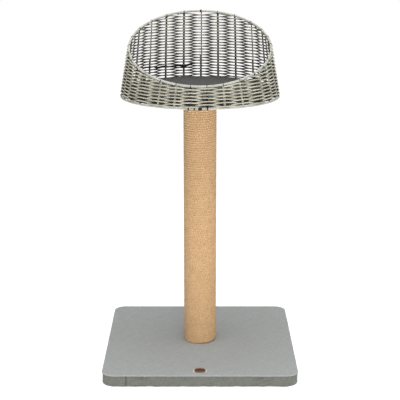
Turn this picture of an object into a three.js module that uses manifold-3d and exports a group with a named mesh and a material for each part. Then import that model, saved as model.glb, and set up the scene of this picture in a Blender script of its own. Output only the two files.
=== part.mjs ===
// A cat scratching post: a square fabric-covered base, a rope-wound post and a round wicker
// basket that is low at the front and high at the back. Millimetres, +Z up, the origin at the
// middle of the underside of the base. The front of the object faces -Y.
import * as THREE from "three";
import { mergeVertices } from "three/addons/utils/BufferGeometryUtils.js";
import Module from "manifold-3d";

// Gaps between pieces
const seat = 0.1; // between two faces that are stacked
const fit = 0.3; // round a piece that sits in, on or beside another one
const boreFit = 0.5; // radial play of a bolt in a wooden hole

// Base
const boardSide = 493;
const boardThickness = 28;
const boardCorner = 26.5; // radius of the board's upright corners
const cornerSteps = 6;
const fabric = 1.5;
const seamLip = 1.7; // how far the cover's seam stands proud of the side band
const hem = 20; // width of the band's edge that is turned in under the board
const lining = 0.8;
const liningMargin = 12; // from the outside of the band to the edge of the lining
const badgeRadius = 18;
const badgeHeight = 1.6;
const badgeRing = 2.4; // width of the raised ring round the badge
const badgeFromFront = 30; // from the front edge of the cover to the badge's middle

// Post
const postLength = 669;
const tubeRadius = 37;
const tubeWall = 4;
const tubeSides = 48;
const plugThickness = 30;
const ropeDiameter = 5.7;
const ropePitch = 6.2;
const ropeSteps = 24; // straight steps in one turn
const ropeSides = 6;
const looseTurns = 12; // turns at each end of the winding that are drawn as rope
const ropeStart = THREE.MathUtils.degToRad(-190); // where the lowest turn starts, at the left side

// Bolts, washers and T-nuts
const boltRadius = 4;
const nutBarrelRadius = 5;
const nutBarrelLength = 11;
const nutFlangeRadius = 11;
const nutFlange = 1.5;
const washerRadius = 12;
const washerThickness = 1.6;
const hexHeadRadius = 7.5;
const hexHeadHeight = 5.3;
const flatHeadRadius = 8.5;
const flatHeadHeight = 2.4;
const threadBeyondNut = 2.5; // how far a bolt passes through its T-nut
const baseCounterbore = 10;
const counterborePlay = 2.5; // from a washer's edge to the wall of its counterbore
const headPlay = 0.6; // from the top of the flat head to the face of the floor board
const roundSides = 24;

// Basket. Heights inside it are measured from the underside of the bottom ring.
const wireDiameter = 5;
const ringRadius = 203; // to the middle of the ring's wire
const wallSlope = 0.1752; // how far the wall leans in for each millimetre of height
const wallThickness = 9.8; // at a stake, with a strand on each side of it
const strandDiameter = 3.3; // the wall is no thicker halfway between two stakes
const rimFrontHeight = 55;
const rimBackHeight = 203;
// Where the stakes stand at height 0, in degrees from the front towards +X, spaced by eye
const stakeDegrees = [
  5.1, 17.5, 31.4, 46.2, 58.6, 70.2, 82.6, 95, 107.1, 119.3, 134.5, 151.1, 165.8, 179.3,
  192.7, 207.6, 222.7, 238.5, 253.4, 267, 278.9, 290.5, 301.7, 313.3, 329.3, 342, 353.1,
];
const stakeLean = 0.16; // how far a side stake leans to the front for each millimetre of height
const stakeWidth = 5.6; // two rods side by side
const stakeDepth = 2.8;
const stepsPerStake = 3;
const wireSides = 8;
const crossWireInset = 12; // from the outside of the post's tube to the middle of a cross wire
const floorThickness = 12;
const floorPlay = 1; // between the floor board and the wall

// Seat pad
const padHeight = 8.2;
const padPlay = 3; // between the pad and the wall
const padEdge = 3.4; // height of the pad's widest line
const padSides = 48;

// Heights of the stacked pieces
const bandBottom = lining + seat;
const boardBottom = bandBottom + fabric + seat;
const coverBottom = boardBottom + boardThickness + seat;
const coverTop = coverBottom + fabric;
const postBottom = coverTop + seat;
const postTop = postBottom + postLength;
const ringBottom = postTop + fit;
const floorBottom = wireDiameter + fit;
const floorTop = floorBottom + floorThickness;
const padBottom = floorTop + fit;

// Base outlines, from the board outwards
const bandInner = fit;
const bandOuter = fit + fabric;
const coverOuter = bandOuter + seamLip;

const colours = {
  cover: new THREE.MeshStandardMaterial({ color: 0x9c9e9c, roughness: 0.9, metalness: 0 }),
  band: new THREE.MeshStandardMaterial({ color: 0x84857e, roughness: 0.9, metalness: 0 }),
  lining: new THREE.MeshStandardMaterial({ color: 0x26272a, roughness: 0.95, metalness: 0 }),
  board: new THREE.MeshStandardMaterial({ color: 0xb08c60, roughness: 0.8, metalness: 0 }),
  card: new THREE.MeshStandardMaterial({ color: 0x9a7a56, roughness: 0.9, metalness: 0 }),
  rope: new THREE.MeshStandardMaterial({ color: 0xd3ae80, roughness: 0.95, metalness: 0 }),
  steel: new THREE.MeshStandardMaterial({ color: 0xa8abad, roughness: 0.35, metalness: 1 }),
  wire: new THREE.MeshStandardMaterial({ color: 0x9e9c93, roughness: 0.5, metalness: 0.2 }),
  wicker: new THREE.MeshStandardMaterial({ color: 0x98958a, roughness: 0.6, metalness: 0 }),
  pad: new THREE.MeshStandardMaterial({ color: 0x5b5c58, roughness: 0.95, metalness: 0 }),
};

const wasm = await Module();
wasm.setup();

// Closed geometry to a solid, and back
function solidOf(geometry) {
  const bare = geometry.clone();
  bare.deleteAttribute("normal");
  bare.deleteAttribute("uv");
  const merged = mergeVertices(bare, 1e-4);
  const vertProperties = merged.attributes.position.array;
  const triVerts = new Uint32Array(merged.index.array);
  return new wasm.Manifold(new wasm.Mesh({ numProp: 3, vertProperties, triVerts }));
}

function geometryOf(solid) {
  const mesh = solid.getMesh();
  const geometry = new THREE.BufferGeometry();
  geometry.setAttribute("position", new THREE.BufferAttribute(mesh.vertProperties, 3));
  geometry.setIndex(new THREE.BufferAttribute(mesh.triVerts, 1));
  return shaded(geometry);
}

function cut(geometry, cutters) {
  const whole = solidOf(geometry);
  return geometryOf(cutters.reduce((solid, cutter) => solid.subtract(solidOf(cutter)), whole));
}

function join(first, second) {
  return geometryOf(solidOf(first).add(solidOf(second)));
}

// Flat-shaded copy, so that each facet has its own normal
function shaded(geometry) {
  const flat = geometry.index ? geometry.toNonIndexed() : geometry;
  flat.computeVertexNormals();
  return flat;
}

// A body between rings of points. A closed loft joins its last ring to its first one, and an
// open loft has both ends capped. The faces point outwards whichever way the rings run.
function loft(rings, closed) {
  const size = rings[0].length;
  const index = [];
  const spans = closed ? rings.length : rings.length - 1;
  for (let i = 0; i < spans; i++) {
    const here = i * size;
    const next = ((i + 1) % rings.length) * size;
    for (let j = 0; j < size; j++) {
      const k = (j + 1) % size;
      index.push(here + j, here + k, next + k);
      index.push(here + j, next + k, next + j);
    }
  }
  if (!closed) {
    const last = (rings.length - 1) * size;
    for (let j = 1; j < size - 1; j++) {
      index.push(0, j + 1, j);
      index.push(last, last + j, last + j + 1);
    }
  }
  return closedBody(rings.flat(), index);
}

// Points and triangles to a geometry that faces outwards
function closedBody(points, index) {
  let volume = 0;
  const cross = new THREE.Vector3();
  for (let i = 0; i < index.length; i += 3) {
    cross.crossVectors(points[index[i + 1]], points[index[i + 2]]);
    volume += points[index[i]].dot(cross);
  }
  const outward = volume > 0 ? index : index.toReversed();
  const geometry = new THREE.BufferGeometry().setFromPoints(points);
  geometry.setIndex(outward);
  return shaded(geometry);
}

// A body of revolution about Z. A profile that doesn't end on the axis closes on itself.
function turned(profile, sides) {
  const points = profile.map(([radius, height]) => new THREE.Vector2(radius, height));
  if (profile[0][0] > 0) points.push(points[0].clone());
  const geometry = new THREE.LatheGeometry(points, sides);
  geometry.rotateX(Math.PI / 2);
  return geometry;
}

// A plain cylinder on Z, from low to high
function rod(radius, low, high, sides = roundSides) {
  const geometry = new THREE.CylinderGeometry(radius, radius, high - low, sides);
  geometry.rotateX(Math.PI / 2);
  geometry.translate(0, 0, (low + high) / 2);
  return geometry;
}

// The corner radius of a faceted hole that leaves a gap all round a shaft
function holeRadius(shaft, gap, sides = roundSides) {
  return (shaft + gap) / Math.cos(Math.PI / sides);
}

// Outline of the board, grown outwards by an offset: its points and the way out at each one
function baseOutline(offset) {
  const middle = boardSide / 2 - boardCorner;
  const outline = [];
  for (let quarter = 0; quarter < 4; quarter++) {
    const towards = Math.PI / 4 + (quarter * Math.PI) / 2;
    const x = middle * Math.sign(Math.cos(towards));
    const y = middle * Math.sign(Math.sin(towards));
    for (let i = 0; i <= cornerSteps; i++) {
      const angle = (quarter + i / cornerSteps) * (Math.PI / 2);
      const out = new THREE.Vector2(Math.cos(angle), Math.sin(angle));
      const radius = boardCorner + offset;
      outline.push({ at: new THREE.Vector2(x + radius * out.x, y + radius * out.y), out });
    }
  }
  return outline;
}

// A sheet or board of the base's outline
function basePlate(offset, thickness) {
  const shape = new THREE.Shape(baseOutline(offset).map(({ at }) => at));
  return new THREE.ExtrudeGeometry(shape, { depth: thickness, bevelEnabled: false });
}

function piece(name, geometry, material, height = 0) {
  const mesh = new THREE.Mesh(geometry, material);
  mesh.name = name;
  mesh.position.z = height;
  return mesh;
}

// ---------------------------------------------------------------- base

const counterboreRadius = washerRadius + counterborePlay;
const boltHole = holeRadius(boltRadius, boreFit);

function sideBand() {
  const high = coverBottom - seat - bandBottom;
  const rings = baseOutline(bandOuter).map(({ at, out }) => {
    const corner = (depth, height) =>
      new THREE.Vector3(at.x - out.x * depth, at.y - out.y * depth, height);
    return [
      corner(0, 0),
      corner(0, high),
      corner(fabric, high),
      corner(fabric, fabric),
      corner(hem, fabric),
      corner(hem, 0),
    ];
  });
  return loft(rings, true);
}

function badge() {
  const inner = badgeRadius - badgeRing;
  const profile = [
    [0, 0],
    [badgeRadius, 0],
    [badgeRadius, badgeHeight * 0.6],
    [badgeRadius - badgeRing * 0.35, badgeHeight],
    [inner + badgeRing * 0.35, badgeHeight],
    [inner, badgeHeight * 0.5],
    [inner * 0.5, badgeHeight * 0.7],
    [0, badgeHeight * 0.75],
  ];
  return turned(profile, roundSides);
}

function makeBase() {
  const base = new THREE.Group();
  const boltAccess = rod(counterboreRadius, -1, lining + 1);
  const sheet = cut(basePlate(bandOuter - liningMargin, lining), [boltAccess]);
  base.add(piece("base_lining", sheet, colours.lining));
  base.add(piece("base_side_band", sideBand(), colours.band, bandBottom));
  const holes = [
    rod(boltHole, -1, boardThickness + 1),
    rod(counterboreRadius, -1, baseCounterbore),
  ];
  const board = cut(basePlate(0, boardThickness), holes);
  base.add(piece("base_board", board, colours.board, boardBottom));
  const cover = cut(basePlate(coverOuter, fabric), [rod(boltHole, -1, fabric + 1)]);
  base.add(piece("base_top_cover", cover, colours.cover, coverBottom));
  const plate = piece("badge_plate", badge(), colours.steel, coverTop + seat);
  plate.position.y = badgeFromFront - boardSide / 2 - coverOuter;
  base.add(plate);
  return base;
}

// ---------------------------------------------------------------- post

const boreRadius = tubeRadius - tubeWall;
const plugRadius = boreRadius * Math.cos(Math.PI / tubeSides) - fit;
const barrelHole = holeRadius(nutBarrelRadius, fit);

function postTube() {
  const profile = [
    [boreRadius, 0],
    [tubeRadius, 0],
    [tubeRadius, postLength],
    [boreRadius, postLength],
  ];
  return turned(profile, tubeSides);
}

// A wooden disc with its T-nut's seat in the upper face
function plug() {
  const holes = [
    rod(boltHole, -1, plugThickness + 1),
    rod(barrelHole, plugThickness - nutBarrelLength - fit, plugThickness + 1),
  ];
  return cut(rod(plugRadius, 0, plugThickness, tubeSides), holes);
}

// A T-nut with its flange on top: the origin is at the underside of the flange
function tNut() {
  const bore = holeRadius(boltRadius, fit);
  const profile = [
    [bore, -nutBarrelLength],
    [nutBarrelRadius, -nutBarrelLength],
    [nutBarrelRadius, 0],
    [nutFlangeRadius, 0],
    [nutFlangeRadius, nutFlange],
    [bore, nutFlange],
  ];
  return turned(profile, roundSides);
}

function washer() {
  const bore = holeRadius(boltRadius, boreFit);
  const profile = [
    [bore, 0],
    [washerRadius, 0],
    [washerRadius, washerThickness],
    [bore, washerThickness],
  ];
  return turned(profile, roundSides);
}

// A bolt that points up: the origin is at the seat of its head
function bolt(headRadius, headHeight, headSides, length) {
  const shank = rod(boltRadius, -headHeight / 2, length);
  return join(shank, rod(headRadius, -headHeight, 0, headSides));
}

// Rope. A point of it is given by its angle round the post and its height.
const ropeRadius = ropeDiameter / 2;
const ropeInside = holeRadius(tubeRadius, fit, ropeSteps);
const ropeLine = ropeInside + ropeRadius;
const ropeFirst = postBottom + ropeRadius + fit;
const ropeTurns = Math.floor((postLength - ropeDiameter - 2 * fit) / ropePitch);

function ropeHeight(turns) {
  return ropeFirst + ropePitch * turns;
}

function onRope(turns, along = 0, out = 0, up = 0) {
  const angle = ropeStart + 2 * Math.PI * turns;
  const radius = ropeLine + out;
  return new THREE.Vector3(
    radius * Math.cos(angle) - along * Math.sin(angle),
    radius * Math.sin(angle) + along * Math.cos(angle),
    ropeHeight(turns) + up,
  );
}

// One stretch of rope as an unbroken tube. Each end is straight for one rope diameter and is
// square to the upright face that the next stretch shows it.
function winding(firstTurn, lastTurn) {
  const places = [
    [firstTurn, fit],
    [firstTurn, fit + ropeDiameter],
  ];
  const steps = Math.round((lastTurn - firstTurn) * ropeSteps);
  for (let i = 1; i < steps; i++) {
    places.push([firstTurn + i / ropeSteps, 0]);
  }
  places.push([lastTurn, -fit - ropeDiameter]);
  places.push([lastTurn, -fit]);
  const rings = places.map(([turns, along]) =>
    Array.from({ length: ropeSides }, (_, side) => {
      const angle = (2 * Math.PI * side) / ropeSides;
      return onRope(turns, along, ropeRadius * Math.cos(angle), ropeRadius * Math.sin(angle));
    }),
  );
  return { geometry: loft(rings, false), rings };
}

// The least distance between the points of turns that lie next to each other
function leastGap(rings) {
  let least = Infinity;
  rings.forEach((ring, i) => {
    const from = i + Math.floor(ropeSteps * 0.7);
    for (const other of rings.slice(from, i + Math.ceil(ropeSteps * 1.3))) {
      for (const a of ring) {
        for (const b of other) {
          least = Math.min(least, a.distanceTo(b));
        }
      }
    }
  });
  return least;
}

// The turns between two stretches of rope, as one sleeve. Both of its ends climb like the rope
// and have one upright step, which the end of the rope meets.
function ropeSleeve(firstTurn, lastTurn) {
  const points = [];
  const index = [];
  const corner = (step, radius, height) => {
    const angle = ropeStart + (2 * Math.PI * step) / ropeSteps;
    points.push(new THREE.Vector3(radius * Math.cos(angle), radius * Math.sin(angle), height));
    return points.length - 1;
  };
  const face = (corners) => {
    for (let i = 1; i < corners.length - 1; i++) {
      index.push(corners[0], corners[i], corners[i + 1]);
    }
  };
  const outside = ropeLine + ropeRadius;
  const low = (step) => ropeHeight(firstTurn - 1 + step / ropeSteps) + ropePitch / 2;
  const high = (step) => ropeHeight(lastTurn - 1 + step / ropeSteps) + ropePitch / 2;
  const wall = (step, radius) => {
    const next = step + 1;
    const sheet = [
      corner(next, radius, low(next)),
      corner(next, radius, high(next)),
      corner(step, radius, high(step)),
      corner(step, radius, low(step)),
    ];
    if (step === 0) sheet.splice(3, 0, corner(0, radius, low(ropeSteps)));
    if (next === ropeSteps) {
      const [lowNext, highNext, highHere, lowHere] = sheet;
      return [highHere, lowHere, lowNext, corner(next, radius, high(0)), highNext];
    }
    return sheet;
  };
  const ledge = (step, height) => [
    corner(step, ropeInside, height(step)),
    corner(step, outside, height(step)),
    corner(step + 1, outside, height(step + 1)),
    corner(step + 1, ropeInside, height(step + 1)),
  ];
  const step = (height) => [
    corner(0, ropeInside, height(0)),
    corner(0, outside, height(0)),
    corner(0, outside, height(ropeSteps)),
    corner(0, ropeInside, height(ropeSteps)),
  ];
  for (let i = 0; i < ropeSteps; i++) {
    face(wall(i, outside));
    face(wall(i, ropeInside).toReversed());
    face(ledge(i, low).toReversed());
    face(ledge(i, high));
  }
  face(step(low));
  face(step(high).toReversed());
  return closedBody(points, index);
}

function makePost() {
  const post = new THREE.Group();
  post.add(piece("post_tube", postTube(), colours.card, postBottom));
  post.add(piece("post_foot_plug", plug(), colours.board, postBottom));
  const footNut = postBottom + plugThickness + seat;
  post.add(piece("base_t_nut", tNut(), colours.steel, footNut));
  const washerAt = boardBottom + baseCounterbore - seat - washerThickness;
  post.add(piece("base_washer", washer(), colours.steel, washerAt));
  const boltAt = washerAt - seat;
  const boltLength = footNut + nutFlange + threadBeyondNut - boltAt;
  const hexBolt = bolt(hexHeadRadius, hexHeadHeight, 6, boltLength);
  post.add(piece("base_bolt", hexBolt, colours.steel, boltAt));

  const lower = winding(0, looseTurns);
  const upper = winding(ropeTurns - looseTurns, ropeTurns);
  const middle = ropeSleeve(looseTurns, ropeTurns - looseTurns);
  post.add(piece("rope_lower_turns", lower.geometry, colours.rope));
  post.add(piece("rope_middle", middle, colours.rope));
  post.add(piece("rope_upper_turns", upper.geometry, colours.rope));
  const gap = Math.min(leastGap(lower.rings), leastGap(upper.rings));
  console.log(`rope: ${ropeTurns} turns, least gap between turns ${gap.toFixed(2)} mm`);

  const head = new THREE.Group();
  head.position.z = postTop;
  head.rotation.x = Math.PI;
  head.add(piece("post_head_plug", plug(), colours.board));
  head.add(piece("head_t_nut", tNut(), colours.steel, plugThickness + seat));
  const faceUp = -(fit + floorTop);
  const flatWasherAt = faceUp + headPlay + flatHeadHeight + seat;
  head.add(piece("head_washer", washer(), colours.steel, flatWasherAt));
  const flatBoltAt = flatWasherAt - seat;
  const flatLength = plugThickness + seat + nutFlange + threadBeyondNut - flatBoltAt;
  const flatBolt = bolt(flatHeadRadius, flatHeadHeight, roundSides, flatLength);
  head.add(piece("head_bolt", flatBolt, colours.steel, flatBoltAt));
  post.add(head);
  return post;
}

// ---------------------------------------------------------------- basket

const wireRadius = wireDiameter / 2;
const wallFoot = ringRadius + wallSlope * wireRadius; // radius of the wall's middle at height 0
const wallTilt = Math.atan(wallSlope);
const wallHalf = wallThickness / 2 / Math.cos(wallTilt);
const strandHalf = strandDiameter / 2 / Math.cos(wallTilt);
const stakeTurns = stakeDegrees.map((degrees) => THREE.MathUtils.degToRad(degrees));
const steps = stakeTurns.length * stepsPerStake;

// The rim lies in one plane, which climbs towards the back
const rimFrontY = -(wallFoot - wallSlope * rimFrontHeight);
const rimBackY = wallFoot - wallSlope * rimBackHeight;
const rimSlope = (rimBackHeight - rimFrontHeight) / (rimBackY - rimFrontY);
const rimMiddle = rimFrontHeight - rimSlope * rimFrontY;
const underRim = (wireRadius + fit) * Math.hypot(1, rimSlope);

// The azimuth at height 0 of a step round the wall. Each stake stands halfway between two
// steps.
function azimuth(step) {
  const place = step / stepsPerStake - 0.5;
  const before = Math.floor(place);
  const count = stakeTurns.length;
  const turnOf = (i) => stakeTurns[(i + count) % count] + 2 * Math.PI * Math.floor(i / count);
  return THREE.MathUtils.lerp(turnOf(before), turnOf(before + 1), place - before);
}

// A point of the wall: its azimuth from the front, its distance out of the wall's middle and to
// the side, both level, and its height
function onWall(turn, out, side, height) {
  const radius = wallFoot + out - wallSlope * height;
  return new THREE.Vector3(
    radius * Math.sin(turn) + side * Math.cos(turn),
    -radius * Math.cos(turn) + side * Math.sin(turn),
    height,
  );
}

// The height at which such a point meets a plane that lies below the rim's plane
function heightBelowRim(turn, out, side, below) {
  const y = -(wallFoot + out) * Math.cos(turn) + side * Math.sin(turn);
  return (rimMiddle - below + rimSlope * y) / (1 - rimSlope * wallSlope * Math.cos(turn));
}

// Stakes turn a little towards the front as they rise, so those at the back stand upright
function leaned(turn, height) {
  return turn - (stakeLean / ringRadius) * Math.sin(turn) * height;
}

// The azimuth at which a leaning line of the wall meets a plane below the rim's plane
function leanedToRim(turn, below) {
  let top = turn;
  for (let round = 0; round < 8; round += 1) {
    top = leaned(turn, heightBelowRim(top, 0, 0, below));
  }
  return top;
}

function rim() {
  const up = new THREE.Vector3(0, -rimSlope, 1).normalize();
  const centres = Array.from({ length: steps }, (_, i) => {
    const turn = leanedToRim(azimuth(i), 0);
    return onWall(turn, 0, 0, heightBelowRim(turn, 0, 0, 0));
  });
  const rings = centres.map((centre, i) => {
    const ahead = centres[(i + 1) % steps].clone().sub(centres.at(i - 1)).normalize();
    const out = ahead.clone().cross(up);
    return Array.from({ length: wireSides }, (_, side) => {
      const angle = (2 * Math.PI * side) / wireSides;
      return centre
        .clone()
        .addScaledVector(out, wireRadius * Math.cos(angle))
        .addScaledVector(up, wireRadius * Math.sin(angle));
    });
  });
  return loft(rings, true);
}

// A straight bar in the wall, from a low height up to a plane below the rim
function barInWall(turn, halfDepth, halfWidth, low, below) {
  const corners = [
    [-halfDepth, -halfWidth],
    [halfDepth, -halfWidth],
    [halfDepth, halfWidth],
    [-halfDepth, halfWidth],
  ];
  const footTurn = leaned(turn, low);
  const topTurn = leanedToRim(turn, below);
  const foot = corners.map(([out, side]) => onWall(footTurn, out, side, low));
  const top = corners.map(([out, side]) =>
    onWall(topTurn, out, side, heightBelowRim(topTurn, out, side, below)),
  );
  return loft([foot, top], false);
}

const wallBottom = wireDiameter + fit;
const stakeHalfDepth = stakeDepth / 2 / Math.cos(wallTilt);

function stake(turn) {
  return barInWall(turn, stakeHalfDepth, stakeWidth / 2, wallBottom, underRim);
}

// The strands pass outside or inside each stake and cross halfway to the next one, so the wall
// is fluted: thick at the stakes and thin between them
function weave() {
  const rings = Array.from({ length: steps }, (_, i) => {
    const half = i % stepsPerStake === 0 ? strandHalf : wallHalf;
    const footTurn = leaned(azimuth(i), wallBottom);
    const topTurn = leanedToRim(azimuth(i), underRim);
    const topOf = (out) => onWall(topTurn, out, 0, heightBelowRim(topTurn, out, 0, underRim));
    return [
      onWall(footTurn, -half, 0, wallBottom),
      onWall(footTurn, half, 0, wallBottom),
      topOf(half),
      topOf(-half),
    ];
  });
  const beyond = 1;
  const channels = stakeTurns.map((turn) => {
    const halfDepth = stakeHalfDepth + fit;
    const halfWidth = stakeWidth / 2 + fit;
    return barInWall(turn, halfDepth, halfWidth, wallBottom - beyond, underRim - beyond);
  });
  return cut(loft(rings, true), channels);
}

function wallInside(height) {
  return wallFoot - wallHalf - wallSlope * height;
}

const crossWireSpacing = 2 * (tubeRadius - crossWireInset);

function crossWire() {
  const ringInside = (ringRadius - wireRadius) * Math.cos(Math.PI / steps) - fit;
  const reach = Math.sqrt(ringInside ** 2 - (crossWireSpacing / 2 + wireRadius) ** 2);
  const geometry = new THREE.CylinderGeometry(wireRadius, wireRadius, 2 * reach, wireSides);
  geometry.rotateZ(Math.PI / 2);
  return geometry;
}

function floorBoard() {
  const radius = wallInside(floorTop) - floorPlay;
  const recess = headPlay + flatHeadHeight + seat + washerThickness + seat;
  const holes = [
    rod(boltHole, -1, floorThickness + 1),
    rod(counterboreRadius, floorThickness - recess, floorThickness + 1),
  ];
  return cut(rod(radius, 0, floorThickness, steps), holes);
}

// The pad's sides draw in under and over its widest line, and its top is crowned
function seatPad() {
  const radius = wallInside(padBottom + padHeight) - padPlay;
  const profile = [
    [0, 0],
    [radius - padHeight * 0.85, 0],
    [radius - padHeight * 0.25, padEdge * 0.35],
    [radius, padEdge],
    [radius - padHeight * 0.3, padHeight * 0.66],
    [radius - padHeight * 1.2, padHeight * 0.82],
    [radius * 0.75, padHeight * 0.93],
    [radius * 0.4, padHeight * 0.98],
    [0, padHeight],
  ];
  return turned(profile, padSides);
}

function makeBasket() {
  const basket = new THREE.Group();
  basket.position.z = ringBottom;
  const ring = new THREE.TorusGeometry(ringRadius, wireRadius, wireSides, steps);
  basket.add(piece("bottom_ring", ring, colours.wire, wireRadius));
  for (const [name, way] of [["cross_wire_front", -1], ["cross_wire_back", 1]]) {
    const wire = piece(name, crossWire(), colours.wire, wireRadius);
    wire.position.y = (way * crossWireSpacing) / 2;
    basket.add(wire);
  }
  basket.add(piece("floor_board", floorBoard(), colours.board, floorBottom));
  basket.add(piece("rim_ring", rim(), colours.wire));
  stakeTurns.forEach((turn, i) => {
    const name = `stake_${String(i + 1).padStart(2, "0")}`;
    basket.add(piece(name, stake(turn), colours.wire));
  });
  basket.add(piece("basket_weave", weave(), colours.wicker));
  basket.add(piece("seat_pad", seatPad(), colours.pad, padBottom));
  return basket;
}

const scratchingPost = new THREE.Group();
scratchingPost.add(makeBase());
scratchingPost.add(makePost());
scratchingPost.add(makeBasket());
export default scratchingPost;
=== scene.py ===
# %% [markdown]
# # A cat scratching post with a raised wicker basket
# The post has a square base under grey fabric, a card tube wound with natural rope, and a
# round basket with a slanted rim and a thin pad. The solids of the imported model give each
# piece its place and size. This script dresses them: it weaves the basket strand by strand,
# lays the rope in turns, pulls the fabric over the base and puffs the pad.

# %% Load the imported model
import math

import bpy
import numpy as np
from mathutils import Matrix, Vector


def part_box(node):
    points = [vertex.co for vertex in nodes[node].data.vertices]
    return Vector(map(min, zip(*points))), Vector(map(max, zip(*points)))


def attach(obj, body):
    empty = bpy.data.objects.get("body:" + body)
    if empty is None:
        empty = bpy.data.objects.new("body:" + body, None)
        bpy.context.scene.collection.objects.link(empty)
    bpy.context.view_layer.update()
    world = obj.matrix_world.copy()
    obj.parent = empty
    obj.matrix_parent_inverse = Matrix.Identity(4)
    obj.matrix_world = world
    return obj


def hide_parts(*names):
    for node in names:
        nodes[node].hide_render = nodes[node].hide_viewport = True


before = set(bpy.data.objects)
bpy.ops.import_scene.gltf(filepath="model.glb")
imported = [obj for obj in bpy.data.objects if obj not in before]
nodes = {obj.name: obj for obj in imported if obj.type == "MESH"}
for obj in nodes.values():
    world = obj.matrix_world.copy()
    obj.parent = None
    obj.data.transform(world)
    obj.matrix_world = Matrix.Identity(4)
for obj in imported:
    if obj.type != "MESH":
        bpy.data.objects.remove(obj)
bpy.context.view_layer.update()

# %% [markdown]
# ## The camera
# The photograph was taken with a long lens from a little above the basket. The camera comes
# first, so that every piece can be judged in the same view.

# %% Place the camera
camera = bpy.data.objects.new("camera", bpy.data.cameras.new("camera"))
camera.location = (0, -2.781, 1.1626)
camera.rotation_euler = (math.radians(75.12), 0, 0)
camera.data.sensor_width = 36
camera.data.lens = 97.72
bpy.context.scene.collection.objects.link(camera)
bpy.context.scene.camera = camera
print("camera at", tuple(round(x, 3) for x in camera.location))

# %% [markdown]
# ## Helpers for node trees
# Materials and Geometry Nodes are both trees of nodes. A field is the output of a node, and
# arithmetic on fields adds the nodes that it takes. With it each tree can be read from top to
# bottom like a formula.

# %% Fields and nodes
MM = 0.001
FULL_TURN = 2 * math.pi


def screen_colour(red, green, blue):
    """A colour as it looks on a screen, 0 to 255, as the linear numbers of a shader."""
    share = np.array([red, green, blue]) / 255
    linear = np.where(share <= 0.04045, share / 12.92, ((share + 0.055) / 1.055) ** 2.4)
    return (*linear.tolist(), 1.0)


def add(tree, kind, inputs=(), **settings):
    """A new node. Its inputs are plain values or fields."""
    node = tree.nodes.new(kind)
    for name, value in settings.items():
        setattr(node, name, value)
    for name, value in dict(inputs).items():
        if isinstance(value, Field):
            tree.links.new(value.socket, node.inputs[name])
        else:
            node.inputs[name].default_value = value
    return node


def field(tree, kind, inputs=(), output=0, **settings):
    """One output of a new node."""
    return Field(add(tree, kind, inputs, **settings).outputs[output])


class Field:
    """The output of a node. Arithmetic on it adds a node to the same tree."""

    def __init__(self, socket):
        self.socket = socket
        self.tree = socket.id_data

    def step(self, operation, *others):
        """One step of arithmetic, for vectors or for numbers as this field is."""
        kind = "ShaderNodeVectorMath" if self.socket.type == "VECTOR" else "ShaderNodeMath"
        return field(self.tree, kind, enumerate((self, *others)), operation=operation)

    def __add__(self, other):
        return self.step("ADD", other)

    def __sub__(self, other):
        return self.step("SUBTRACT", other)

    def __rsub__(self, other):
        return field(self.tree, "ShaderNodeMath", {0: other, 1: self}, operation="SUBTRACT")

    def __mul__(self, other):
        return self.step("MULTIPLY", other)

    def __truediv__(self, other):
        return self.step("DIVIDE", other)

    def times(self, number):
        """A vector made longer or shorter."""
        inputs = {0: self, "Scale": number}
        return field(self.tree, "ShaderNodeVectorMath", inputs, operation="SCALE")

    def parts(self):
        """The three numbers of a vector."""
        return [Field(part) for part in add(self.tree, "ShaderNodeSeparateXYZ", {0: self}).outputs]


def combined(tree, *parts):
    """A vector made of up to three numbers."""
    return field(tree, "ShaderNodeCombineXYZ", enumerate(parts))


def noise(place, scale, detail=2.0):
    """Cloudy values of about 0.3 to 0.7 that vary with the place."""
    inputs = {"Vector": place, "Scale": scale, "Detail": detail}
    return field(place.tree, "ShaderNodeTexNoise", inputs)


def remap(value, low, high, to_low=0.0, to_high=1.0):
    """The value's range from low to high, moved to another range and held there."""
    inputs = {"Value": value, "From Min": low, "From Max": high}
    inputs |= {"To Min": to_low, "To Max": to_high}
    return field(value.tree, "ShaderNodeMapRange", inputs)


def mixed(share, first, second):
    """A colour between two others. Three plain numbers are a colour as on a screen."""
    first, second = (
        screen_colour(*colour) if isinstance(colour, tuple) else colour
        for colour in (first, second)
    )
    inputs = {0: share, 6: first, 7: second}
    return field(share.tree, "ShaderNodeMix", inputs, 2, data_type="RGBA")


def specked(colour, place, scale, growth, least, shade):
    """The colour with small round specks of another shade, each of its own size."""
    spots = add(place.tree, "ShaderNodeTexVoronoi", {"Vector": place, "Scale": scale}).outputs
    size = Field(spots["Color"]) * growth - least
    return mixed(Field(spots["Distance"]).step("LESS_THAN", size) * 0.6, colour, shade)


def attribute(tree, name, output="Fac"):
    """A value that is stored on the mesh."""
    return field(tree, "ShaderNodeAttribute", output=output, attribute_name=name)


def object_place(tree):
    """The place on the piece, in metres in the model's frame."""
    return field(tree, "ShaderNodeTexCoord", output="Object")


def cleared(owner):
    """The empty tree of a material or a world."""
    owner.use_nodes = True
    owner.node_tree.nodes.clear()
    return owner.node_tree


print("node helpers ready")

# %% [markdown]
# ## Fabric
# The base and the pad wear a flat woven cloth. Close up it is threads that pass over and
# under each other, and from afar a slightly mottled grey, because no thread is quite like
# its neighbour. Both follow the cloth, so the pattern reads the UV map of each piece, in
# metres, and turns round the edges with it. Where the cloth is folded in, an attribute holds
# how much painted shade darkens the colour there.

# %% Materials for woven cloth
thread_width = 0.55 * MM
lint_scale = 16.0


def bare_finish(name, inputs):
    """A material with one main shader: its tree, its shader and itself."""
    material = bpy.data.materials.new(name)
    tree = cleared(material)
    shader = add(tree, "ShaderNodeBsdfPrincipled", inputs)
    add(tree, "ShaderNodeOutputMaterial", {"Surface": Field(shader.outputs[0])})
    return tree, shader, material


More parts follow.
